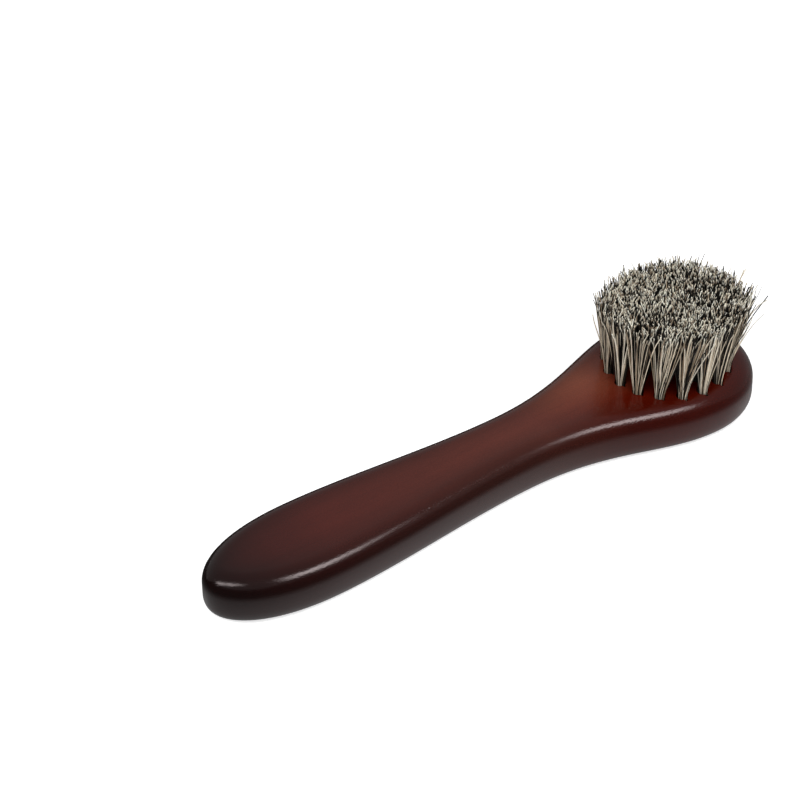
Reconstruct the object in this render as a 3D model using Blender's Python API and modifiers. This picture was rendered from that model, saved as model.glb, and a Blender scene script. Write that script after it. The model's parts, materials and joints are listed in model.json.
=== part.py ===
"""Polish dauber: a one-piece wooden paddle whose round head holds rings of staple-set horsehair tufts.

Metres, +Z up. The dauber lies on its flat back with its bristles up. The origin lies under the middle
of the block, and +X runs along the handle towards the head.
"""

import math

import bmesh
import bpy
from mathutils import Quaternion, Vector

MM = 0.001

# Wooden block, seen from above: a rounded grip, a narrow neck and a round head
LENGTH = 190.0 * MM
THICKNESS = 15.2 * MM
GRIP_WIDTH = 33.0 * MM
GRIP_SETBACK = 35.0 * MM        # widest place of the grip, from the handle's end
NECK_WIDTH = 23.8 * MM
NECK_SETBACK = 106.2 * MM       # narrowest place, from the handle's end
HEAD_WIDTH = 48.2 * MM
HEAD_SETBACK = 24.0 * MM        # widest place of the head, from its tip
FACE_ROUND = 6.0 * MM           # radius of the soft edge round the bristle face
BACK_ROUND = 5.0 * MM           # radius of the edge round the flat back

# Fullness of the outline: how far each tangent reaches towards the next knot
END_SPREAD = 0.427
GRIP_LEAD = 0.711
GRIP_FADE = 0.326
NECK_LEAD = 0.336
NECK_FADE = 0.49
HEAD_LEAD = 0.325
TIP_FULLNESS = 0.585            # 0.552 would be an ellipse

# Drilled pattern of the head
PATTERN_OFFSET = 2.2 * MM       # centre of the rings, from the head's widest place towards the handle
INNER_RADIUS = 5.2 * MM
OUTER_MARGIN = 6.1 * MM         # middle of the outer holes, from the side of the head
RING_NAMES = ("inner", "middle", "outer")
RING_COUNTS = (4, 8, 17)
OUTER_LEAN = math.radians(1.2)  # how far the outermost holes lean outwards
PATTERN_TURN = math.radians(1.8)

# Blind hole of one tuft
HOLE_DIAMETER = 3.6 * MM
HOLE_DEPTH = 9.0 * MM
DRILL_POINT_ANGLE = math.radians(118)

# Flat wire anchor that holds the folded hair down in its hole
ANCHOR_BITE = 0.4 * MM          # how far each end digs into the wood
ANCHOR_HEIGHT = 2.0 * MM
ANCHOR_THICKNESS = 0.35 * MM
ANCHOR_CHAMFER = 0.45 * MM
FOLD_THICKNESS = 1.1 * MM       # hair that passes under the anchor

# Horsehair
HAIR_LENGTH = 23.3 * MM         # bristle face to the trimmed ends
PLUG_RECESS = 0.8 * MM          # top of the packed hair, below the face
STRANDS_ROUND_CENTRE = (1, 5, 7)
STRAND_FULLNESS = 0.95
BELLY_HEIGHT = 0.42             # where a tuft bends outwards, as a share of the hair's length
BELLY_SPREAD = 0.62             # and how much of its fan it has opened there

CLEARANCE = 0.3 * MM            # between seated pieces
TUFT_GAP = 0.3 * MM             # between neighbouring tufts at their trimmed ends
STRAND_ROOT = 0.5 * MM          # how deep a strand is fused into its plug
OVERCUT = 3.0 * MM
WELD = 0.001 * MM

OUTLINE_STEPS = 10
ROUND_SEGMENTS = 5
HOLE_SIDES = 12
PLUG_SIDES = 8
STRAND_SIDES = 3


def clear_scene():
    for obj in list(bpy.data.objects):
        bpy.data.objects.remove(obj)


def new_collection(name):
    collection = bpy.data.collections.new(name)
    bpy.context.scene.collection.children.link(collection)
    return collection


def make_material(name, color, roughness, metallic=0.0, coat=0.0):
    material = bpy.data.materials.new(name)
    material.use_nodes = True
    shader = material.node_tree.nodes["Principled BSDF"]
    shader.inputs["Base Color"].default_value = (*color, 1.0)
    shader.inputs["Roughness"].default_value = roughness
    shader.inputs["Metallic"].default_value = metallic
    shader.inputs["Coat Weight"].default_value = coat
    return material


def add_object(name, data, collection):
    obj = bpy.data.objects.new(name, data)
    collection.objects.link(obj)
    return obj


def as_helper(obj):
    """A cutter or guide that is no piece of the dauber."""
    obj.hide_render = True
    obj.display_type = "WIRE"
    return obj


def evaluated_mesh(obj, name):
    """A welded mesh of the object with its modifiers, after which the object is gone."""
    bpy.context.view_layer.update()
    graph = bpy.context.evaluated_depsgraph_get()
    mesh = bpy.data.meshes.new_from_object(obj.evaluated_get(graph))
    mesh.name = name
    bpy.data.objects.remove(obj)
    work = bmesh.new()
    work.from_mesh(mesh)
    bmesh.ops.remove_doubles(work, verts=work.verts, dist=WELD)
    work.to_mesh(mesh)
    work.free()
    return mesh


def turned_solid(name, profile, sides, collection):
    """A solid turned about Z from an outer profile that runs from top to bottom."""
    mesh = bpy.data.meshes.new(name)
    edges = [(step, step + 1) for step in range(len(profile) - 1)]
    mesh.from_pydata([(radius, 0.0, height) for radius, height in profile], edges, [])
    obj = as_helper(add_object(name, mesh, collection))
    screw = obj.modifiers.new("turn", "SCREW")
    screw.steps = sides
    screw.render_steps = sides
    screw.use_merge_vertices = True
    screw.merge_threshold = WELD
    return obj


def box(name, size, base, collection):
    """A box centred over the Z axis, from the height base up."""
    mesh = bpy.data.meshes.new(name)
    work = bmesh.new()
    bmesh.ops.create_cube(work, size=1.0)
    bmesh.ops.scale(work, vec=size, verts=work.verts)
    bmesh.ops.translate(work, vec=(0.0, 0.0, base + size[2] / 2), verts=work.verts)
    work.to_mesh(mesh)
    work.free()
    return as_helper(add_object(name, mesh, collection))


def combine(obj, other, operation):
    boolean = obj.modifiers.new(operation.lower(), "BOOLEAN")
    boolean.operation = operation
    boolean.object = other


def outline_knots():
    """Knots once round the block: x, y, direction of travel, reach before and reach after."""
    grip = GRIP_WIDTH / 2
    head = HEAD_WIDTH / 2
    head_at = LENGTH - HEAD_SETBACK
    shank = NECK_SETBACK - GRIP_SETBACK
    shoulder = head_at - NECK_SETBACK
    side = [
        (GRIP_SETBACK, grip, GRIP_LEAD * GRIP_SETBACK, GRIP_FADE * shank),
        (NECK_SETBACK, NECK_WIDTH / 2, NECK_LEAD * shank, NECK_FADE * shoulder),
        (head_at, head, HEAD_LEAD * shoulder, TIP_FULLNESS * HEAD_SETBACK),
    ]
    knots = [(0.0, 0.0, Vector((0, 1, 0)), END_SPREAD * grip, END_SPREAD * grip)]
    knots += [(x, y, Vector((1, 0, 0)), before, after) for x, y, before, after in side]
    knots.append((LENGTH, 0.0, Vector((0, -1, 0)), TIP_FULLNESS * head, TIP_FULLNESS * head))
    knots += [(x, -y, Vector((-1, 0, 0)), after, before) for x, y, before, after in reversed(side)]
    return knots


def face_round():
    """The face's soft edge, no larger than the tightest bend of the outline lets it be."""
    spread = END_SPREAD * GRIP_WIDTH / 2
    end_radius = 1.5 * spread**2 / ((1 - GRIP_LEAD) * GRIP_SETBACK)
    return min(FACE_ROUND, 0.9 * end_radius)


def slab_mesh(collection):
    """The block's outline at full thickness, with one flat face above and one below."""
    curve = bpy.data.curves.new("block_outline", "CURVE")
    curve.dimensions = "2D"
    curve.fill_mode = "BOTH"
    curve.extrude = THICKNESS / 2
    curve.resolution_u = OUTLINE_STEPS
    knots = outline_knots()
    spline = curve.splines.new("BEZIER")
    spline.use_cyclic_u = True
    spline.bezier_points.add(len(knots) - 1)
    for point, (x, y, direction, before, after) in zip(spline.bezier_points, knots):
        place = Vector((x - LENGTH / 2, y, 0.0))
        point.handle_left_type = "FREE"
        point.handle_right_type = "FREE"
        point.co = place
        point.handle_left = place - direction * before
        point.handle_right = place + direction * after
    slab = evaluated_mesh(add_object("block_outline", curve, collection), "wooden_block")
    work = bmesh.new()
    work.from_mesh(slab)
    for side in (1, -1):
        caps = [face for face in work.faces if face.normal.z * side > 0.9]
        bmesh.ops.dissolve_faces(work, faces=caps)
    bmesh.ops.translate(work, vec=(0.0, 0.0, THICKNESS / 2), verts=work.verts)
    weight = work.edges.layers.float.new("bevel_weight_edge")
    for edge in work.edges:
        heights = [vert.co.z for vert in edge.verts]
        if min(heights) > THICKNESS / 2:
            edge[weight] = 1.0
        elif max(heights) < THICKNESS / 2:
            edge[weight] = BACK_ROUND / face_round()
    work.to_mesh(slab)
    work.free()
    return slab


def wooden_block(pieces, helpers, hole_cutters, material):
    mesh = slab_mesh(helpers)
    mesh.materials.append(material)
    mesh.shade_smooth()
    mesh.set_sharp_from_angle(angle=math.radians(40))
    block = add_object("wooden_block", mesh, pieces)
    rounding = block.modifiers.new("soft_edges", "BEVEL")
    rounding.limit_method = "WEIGHT"
    rounding.width = face_round()
    rounding.segments = ROUND_SEGMENTS
    rounding.use_clamp_overlap = False
    drilling = block.modifiers.new("drilling", "BOOLEAN")
    drilling.operation = "DIFFERENCE"
    drilling.operand_type = "COLLECTION"
    drilling.collection = hole_cutters
    return block


def anchor_base():
    """Height of the anchor's lower edge, from the bristle face."""
    return -HOLE_DEPTH + CLEARANCE + FOLD_THICKNESS + CLEARANCE


def anchor_width():
    return HOLE_DIAMETER + 2 * ANCHOR_BITE


def hole_mesh(helpers):
    """One blind hole with its drill point, and the groove that the anchor's ends cut on the way down."""
    radius = HOLE_DIAMETER / 2
    point = radius / math.tan(DRILL_POINT_ANGLE / 2)
    profile = [(0.0, OVERCUT), (radius, OVERCUT), (radius, -HOLE_DEPTH), (0.0, -HOLE_DEPTH - point)]
    hole = turned_solid("drill", profile, HOLE_SIDES, helpers)
    base = anchor_base() - CLEARANCE
    width = ANCHOR_THICKNESS + 2 * CLEARANCE
    size = (width, anchor_width() + 2 * CLEARANCE, OVERCUT / 2 - base)
    groove = box("anchor_groove", size, base, helpers)
    combine(hole, groove, "UNION")
    mesh = evaluated_mesh(hole, "tuft_hole")
    bpy.data.objects.remove(groove)
    return mesh


def anchor_mesh():
    """A short strip of flat wire with its leading corners clipped."""
    mesh = bpy.data.meshes.new("anchor")
    size = Vector((ANCHOR_THICKNESS, anchor_width(), ANCHOR_HEIGHT))
    work = bmesh.new()
    bmesh.ops.create_cube(work, size=1.0)
    bmesh.ops.scale(work, vec=size, verts=work.verts)
    bmesh.ops.translate(work, vec=(0.0, 0.0, anchor_base() + size.z / 2), verts=work.verts)
    low = anchor_base() + ANCHOR_HEIGHT / 2
    leading = []
    for edge in work.edges:
        first, second = edge.verts
        across = abs(first.co.x - second.co.x) > ANCHOR_THICKNESS / 2
        if across and first.co.z < low:
            leading.append(edge)
    bmesh.ops.bevel(work, geom=leading, offset=ANCHOR_CHAMFER, segments=1, affect="EDGES")
    work.to_mesh(mesh)
    work.free()
    return mesh


def ring_radii():
    """Radii of the rings, evenly spaced from the inner one to the one along the head's edge."""
    outer = HEAD_WIDTH / 2 - OUTER_MARGIN
    step = (outer - INNER_RADIUS) / (len(RING_COUNTS) - 1)
    return [INNER_RADIUS + step * ring for ring in range(len(RING_COUNTS))]


def fan_width():
    """Width of a tuft at its trimmed end, which the nearest neighbour leaves it."""
    radii = ring_radii()
    steps = [after - before for before, after in zip(radii, radii[1:])]
    chords = [2 * radius * math.sin(math.pi / count) for radius, count in zip(radii, RING_COUNTS)]
    return min(steps + chords) - TUFT_GAP


def fan_spread(reach):
    """Radius of the strands' outer circle, where the tuft as a whole reaches this far from its middle."""
    rings = len(STRANDS_ROUND_CENTRE) - 1
    return reach / (1 + STRAND_FULLNESS / (2 * rings))


def strand_stations():
    """Heights up a tuft, each with the radius of the strands' outer circle there."""
    plug_radius = HOLE_DIAMETER / 2 - CLEARANCE
    root = fan_spread(0.88 * plug_radius)
    tip = fan_spread(fan_width() / 2)
    belly = root + BELLY_SPREAD * (tip - root)
    return [
        (-PLUG_RECESS - STRAND_ROOT, root),
        (BELLY_HEIGHT * HAIR_LENGTH, belly),
        (HAIR_LENGTH, tip),
    ]


def strands_mesh(helpers):
    """The locks of one tuft, which fan out from its plug in rings about a middle lock and never cross."""
    profile = bpy.data.curves.new("strand_profile", "CURVE")
    profile.dimensions = "2D"
    loop = profile.splines.new("POLY")
    loop.use_cyclic_u = True
    loop.points.add(STRAND_SIDES - 1)
    for index, point in enumerate(loop.points):
        angle = -math.tau * index / STRAND_SIDES
        point.co = (math.cos(angle), math.sin(angle), 0.0, 1.0)
    guide = as_helper(add_object("strand_profile", profile, helpers))

    curve = bpy.data.curves.new("strands", "CURVE")
    curve.dimensions = "3D"
    curve.bevel_mode = "OBJECT"
    curve.bevel_object = guide
    curve.use_fill_caps = True
    stations = strand_stations()
    rings = len(STRANDS_ROUND_CENTRE) - 1
    for ring, count in enumerate(STRANDS_ROUND_CENTRE):
        for index in range(count):
            angle = math.tau * (index + 0.5 * ring) / count
            spline = curve.splines.new("POLY")
            spline.points.add(len(stations) - 1)
            for point, (height, spread) in zip(spline.points, stations):
                radius = spread * ring / rings
                point.co = (radius * math.cos(angle), radius * math.sin(angle), height, 1.0)
                point.radius = STRAND_FULLNESS * spread / (2 * rings)
    mesh = evaluated_mesh(add_object("strands", curve, helpers), "strands")
    bpy.data.objects.remove(guide)
    return mesh


def tuft_mesh(helpers):
    """A bundle of hair folded round its anchor: the packed plug in the hole and the fan above it."""
    radius = HOLE_DIAMETER / 2 - CLEARANCE
    top = -PLUG_RECESS
    bottom = -HOLE_DEPTH + CLEARANCE
    profile = [(0.0, top), (radius, top), (radius, bottom), (0.0, bottom)]
    plug = turned_solid("plug", profile, PLUG_SIDES, helpers)
    strands = as_helper(add_object("strands", strands_mesh(helpers), helpers))
    eye_size = (
        ANCHOR_THICKNESS + 2 * CLEARANCE,
        HOLE_DIAMETER + 2 * OVERCUT,
        ANCHOR_HEIGHT + 2 * CLEARANCE,
    )
    eye = box("anchor_eye", eye_size, anchor_base() - CLEARANCE, helpers)
    combine(plug, strands, "UNION")
    combine(plug, eye, "DIFFERENCE")
    mesh = evaluated_mesh(plug, "tuft")
    bpy.data.objects.remove(strands)
    bpy.data.objects.remove(eye)
    return mesh


def hole_places():
    """Name, position on the bristle face and lean of every hole, ring by ring."""
    centre = Vector((LENGTH / 2 - HEAD_SETBACK - PATTERN_OFFSET, 0.0, THICKNESS))
    radii = ring_radii()
    places = []
    for name, count, radius in zip(RING_NAMES, RING_COUNTS, radii):
        lean = OUTER_LEAN * radius / radii[-1]
        for index in range(count):
            angle = math.pi + PATTERN_TURN + math.tau * index / count
            outwards = Vector((math.cos(angle), math.sin(angle), 0.0))
            tilt = Quaternion(Vector((0, 0, 1)).cross(outwards), lean)
            places.append((name, index + 1, centre + radius * outwards, tilt))
    return places


def place_piece(name, mesh, location, tilt, collection):
    obj = add_object(name, mesh, collection)
    obj.location = location
    obj.rotation_mode = "QUATERNION"
    obj.rotation_quaternion = tilt
    return obj


def main():
    clear_scene()
    pieces = new_collection("polish_dauber")
    helpers = new_collection("cutters")
    hole_cutters = new_collection("hole_cutters")

    lacquered_wood = make_material("lacquered_wood", (0.085, 0.018, 0.012), 0.28, coat=0.6)
    horsehair = make_material("horsehair", (0.30, 0.26, 0.21), 0.62)
    flat_wire = make_material("flat_wire", (0.56, 0.57, 0.58), 0.38, metallic=1.0)

    hole = hole_mesh(helpers)
    tuft = tuft_mesh(helpers)
    tuft.materials.append(horsehair)
    anchor = anchor_mesh()
    anchor.materials.append(flat_wire)
    for ring, number, location, tilt in hole_places():
        cutter = place_piece(f"{ring}_hole_{number:02d}", hole, location, tilt, hole_cutters)
        as_helper(cutter)
        place_piece(f"{ring}_tuft_{number:02d}", tuft, location, tilt, pieces)
        place_piece(f"{ring}_anchor_{number:02d}", anchor, location, tilt, pieces)
    wooden_block(pieces, helpers, hole_cutters, lacquered_wood)


if __name__ == "__main__":
    main()
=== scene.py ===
"""A polish dauber: a lacquered wooden paddle that carries a round brush of horsehair tufts."""

import json
import math

import bmesh
import bpy
from mathutils import Matrix, Vector
from mathutils.bvhtree import BVHTree
from mathutils.interpolate import poly_3d_calc
from mathutils.kdtree import KDTree
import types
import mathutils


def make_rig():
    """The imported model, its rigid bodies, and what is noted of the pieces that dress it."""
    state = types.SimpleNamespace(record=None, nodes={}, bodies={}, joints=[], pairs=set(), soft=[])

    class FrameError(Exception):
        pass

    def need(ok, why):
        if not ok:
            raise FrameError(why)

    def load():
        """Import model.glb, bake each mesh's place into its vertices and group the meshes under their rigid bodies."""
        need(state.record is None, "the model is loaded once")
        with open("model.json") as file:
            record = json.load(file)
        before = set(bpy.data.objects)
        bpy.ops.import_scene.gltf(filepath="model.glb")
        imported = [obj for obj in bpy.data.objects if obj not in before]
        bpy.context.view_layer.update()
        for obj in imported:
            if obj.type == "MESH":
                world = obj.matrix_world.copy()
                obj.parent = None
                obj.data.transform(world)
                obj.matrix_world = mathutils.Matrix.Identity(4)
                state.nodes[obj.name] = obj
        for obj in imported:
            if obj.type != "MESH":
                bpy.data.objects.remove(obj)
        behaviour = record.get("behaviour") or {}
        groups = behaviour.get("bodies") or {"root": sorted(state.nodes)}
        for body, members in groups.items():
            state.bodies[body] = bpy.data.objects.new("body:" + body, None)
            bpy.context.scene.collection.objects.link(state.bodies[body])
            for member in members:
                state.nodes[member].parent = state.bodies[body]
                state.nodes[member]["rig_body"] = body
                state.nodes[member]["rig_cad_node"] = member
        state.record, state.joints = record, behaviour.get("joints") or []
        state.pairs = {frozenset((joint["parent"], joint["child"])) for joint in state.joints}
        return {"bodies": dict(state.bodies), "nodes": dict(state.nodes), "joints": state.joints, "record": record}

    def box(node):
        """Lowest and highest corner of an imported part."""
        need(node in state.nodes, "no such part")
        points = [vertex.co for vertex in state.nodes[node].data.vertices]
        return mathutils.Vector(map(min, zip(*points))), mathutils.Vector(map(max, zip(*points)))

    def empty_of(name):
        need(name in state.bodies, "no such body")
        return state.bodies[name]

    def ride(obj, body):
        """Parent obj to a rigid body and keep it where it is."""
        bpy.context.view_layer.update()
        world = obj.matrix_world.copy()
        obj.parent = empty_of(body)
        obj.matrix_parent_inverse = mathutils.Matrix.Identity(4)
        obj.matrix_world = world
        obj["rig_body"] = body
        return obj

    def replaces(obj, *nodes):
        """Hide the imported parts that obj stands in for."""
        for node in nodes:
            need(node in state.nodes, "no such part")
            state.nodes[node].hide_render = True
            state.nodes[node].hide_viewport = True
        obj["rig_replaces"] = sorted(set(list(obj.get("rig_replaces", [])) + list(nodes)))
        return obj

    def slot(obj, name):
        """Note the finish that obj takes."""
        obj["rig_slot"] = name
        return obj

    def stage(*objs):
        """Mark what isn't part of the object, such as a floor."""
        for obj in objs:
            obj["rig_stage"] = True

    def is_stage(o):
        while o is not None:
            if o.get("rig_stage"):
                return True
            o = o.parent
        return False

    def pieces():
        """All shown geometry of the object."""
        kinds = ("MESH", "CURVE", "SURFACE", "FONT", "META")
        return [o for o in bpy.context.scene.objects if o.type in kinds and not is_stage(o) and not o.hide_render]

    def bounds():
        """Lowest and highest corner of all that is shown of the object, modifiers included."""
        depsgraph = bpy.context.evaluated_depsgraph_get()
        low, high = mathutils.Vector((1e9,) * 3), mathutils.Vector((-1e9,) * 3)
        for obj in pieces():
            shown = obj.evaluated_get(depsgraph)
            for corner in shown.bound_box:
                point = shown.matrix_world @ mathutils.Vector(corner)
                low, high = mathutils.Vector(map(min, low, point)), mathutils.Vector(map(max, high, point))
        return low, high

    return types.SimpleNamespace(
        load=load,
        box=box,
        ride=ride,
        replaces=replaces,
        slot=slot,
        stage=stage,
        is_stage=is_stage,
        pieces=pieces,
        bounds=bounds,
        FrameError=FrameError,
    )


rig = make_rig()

bl_info = {
    "name": "Polish dauber",
    "version": (1, 0, 0),
    "blender": (4, 5, 0),
    "location": "3D View > Sidebar > Dauber",
    "description": "Builds a wooden polish dauber with a round brush of horsehair",
    "category": "Add Mesh",
}

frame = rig.load()
CAD_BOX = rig.bounds()

MM = 0.001
GOLDEN_ANGLE = math.pi * (3 - math.sqrt(5))
RINGS = ("inner", "middle", "outer")


class BlockSettings(bpy.types.PropertyGroup):
    """Sizes of the wooden block that its box doesn't give."""

    grip_width: bpy.props.FloatProperty(
        name="Grip Width", description="Widest place of the handle",
        default=33.0 * MM, unit="LENGTH")
    grip_setback: bpy.props.FloatProperty(
        name="Grip Setback", description="Widest place of the grip, from the handle's end",
        default=35.0 * MM, unit="LENGTH")
    neck_width: bpy.props.FloatProperty(
        name="Neck Width", description="Narrowest place between grip and head",
        default=23.8 * MM, unit="LENGTH")
    neck_setback: bpy.props.FloatProperty(
        name="Neck Setback", description="Narrowest place, from the handle's end",
        default=106.2 * MM, unit="LENGTH")
    head_setback: bpy.props.FloatProperty(
        name="Head Setback", description="Widest place of the head, from its tip",
        default=24.0 * MM, unit="LENGTH")
    thickness: bpy.props.FloatProperty(
        name="Thickness", description="From the flat back to the bristle face",
        default=15.2 * MM, unit="LENGTH")
    face_round: bpy.props.FloatProperty(
        name="Face Rounding", description="Radius of the soft edge round the bristle face",
        default=6.0 * MM, unit="LENGTH")
    back_round: bpy.props.FloatProperty(
        name="Back Rounding", description="Radius of the soft edge round the back",
        default=5.0 * MM, unit="LENGTH")
    end_spread: bpy.props.FloatProperty(
        name="End Spread", description="How bluntly the handle ends, as a share of half its width",
        default=0.427)
    grip_lead: bpy.props.FloatProperty(
        name="Grip Lead", description="Fullness of the outline before the grip's widest place",
        default=0.711)
    grip_fade: bpy.props.FloatProperty(
        name="Grip Fade", description="Fullness of the outline after the grip's widest place",
        default=0.326)
    neck_lead: bpy.props.FloatProperty(
        name="Neck Lead", description="Fullness of the outline before the neck", default=0.336)
    neck_fade: bpy.props.FloatProperty(
        name="Neck Fade", description="Fullness of the outline after the neck", default=0.49)
    head_lead: bpy.props.FloatProperty(
        name="Head Lead", description="Fullness of the outline before the head's widest place",
        default=0.325)
    tip_fullness: bpy.props.FloatProperty(
        name="Tip Fullness", description="Fullness of the head's round end", default=0.585)
    hole_diameter: bpy.props.FloatProperty(
        name="Hole Diameter", description="Drill for one tuft", default=3.6 * MM, unit="LENGTH")
    hole_depth: bpy.props.FloatProperty(
        name="Hole Depth", description="From the bristle face to where the drill's point starts",
        default=9.0 * MM, unit="LENGTH")
    groove_length: bpy.props.FloatProperty(
        name="Groove Length", description="Across the groove that an anchor's ends cut",
        default=5.0 * MM, unit="LENGTH")
    groove_width: bpy.props.FloatProperty(
        name="Groove Width", description="Width of the groove that an anchor cuts",
        default=0.95 * MM, unit="LENGTH")
    spacing: bpy.props.FloatProperty(
        name="Mesh Spacing", description="Distance between the cross sections",
        default=1.3 * MM, unit="LENGTH")


class FinishSettings(bpy.types.PropertyGroup):
    """Colours and gloss of the lacquered wood."""

    end_color: bpy.props.FloatVectorProperty(
        name="Handle End", description="Lacquer at the very end of the handle",
        default=(0.018, 0.0016, 0.0013), subtype="COLOR")
    grip_color: bpy.props.FloatVectorProperty(
        name="Grip", description="Lacquer in the middle of the grip",
        default=(0.064, 0.0095, 0.0065), subtype="COLOR")
    neck_color: bpy.props.FloatVectorProperty(
        name="Neck", description="Lacquer in the middle of the neck",
        default=(0.114, 0.0235, 0.0145), subtype="COLOR")
    warm_color: bpy.props.FloatVectorProperty(
        name="Warm Patch", description="Lacquer where the neck runs into the head",
        default=(0.190, 0.0480, 0.0240), subtype="COLOR")
    head_color: bpy.props.FloatVectorProperty(
        name="Head", description="Lacquer between the tufts",
        default=(0.086, 0.0050, 0.0010), subtype="COLOR")
    patch_place: bpy.props.FloatVectorProperty(
        name="Patch Place", description="Middle of the warm patch",
        default=(0.041, 0.009, 0.015), subtype="XYZ", unit="LENGTH")
    patch_size: bpy.props.FloatVectorProperty(
        name="Patch Size", description="Reach of the warm patch each way",
        default=(0.026, 0.019, 0.02), subtype="XYZ", unit="LENGTH")
    handle_shade: bpy.props.FloatProperty(
        name="Handle Shade", description="What is left of the colour on the handle's sides",
        default=0.18, subtype="FACTOR")
    head_shade: bpy.props.FloatProperty(
        name="Head Shade", description="What is left of the colour on the head's sides",
        default=0.33, subtype="FACTOR")
    edge_reach: bpy.props.FloatProperty(
        name="Edge Reach", description="How far the dark lacquer of the sides runs in from the outline",
        default=7.5 * MM, unit="LENGTH")
    roughness: bpy.props.FloatProperty(
        name="Roughness", description="Roughness of the lacquer", default=0.148, subtype="FACTOR")


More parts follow.
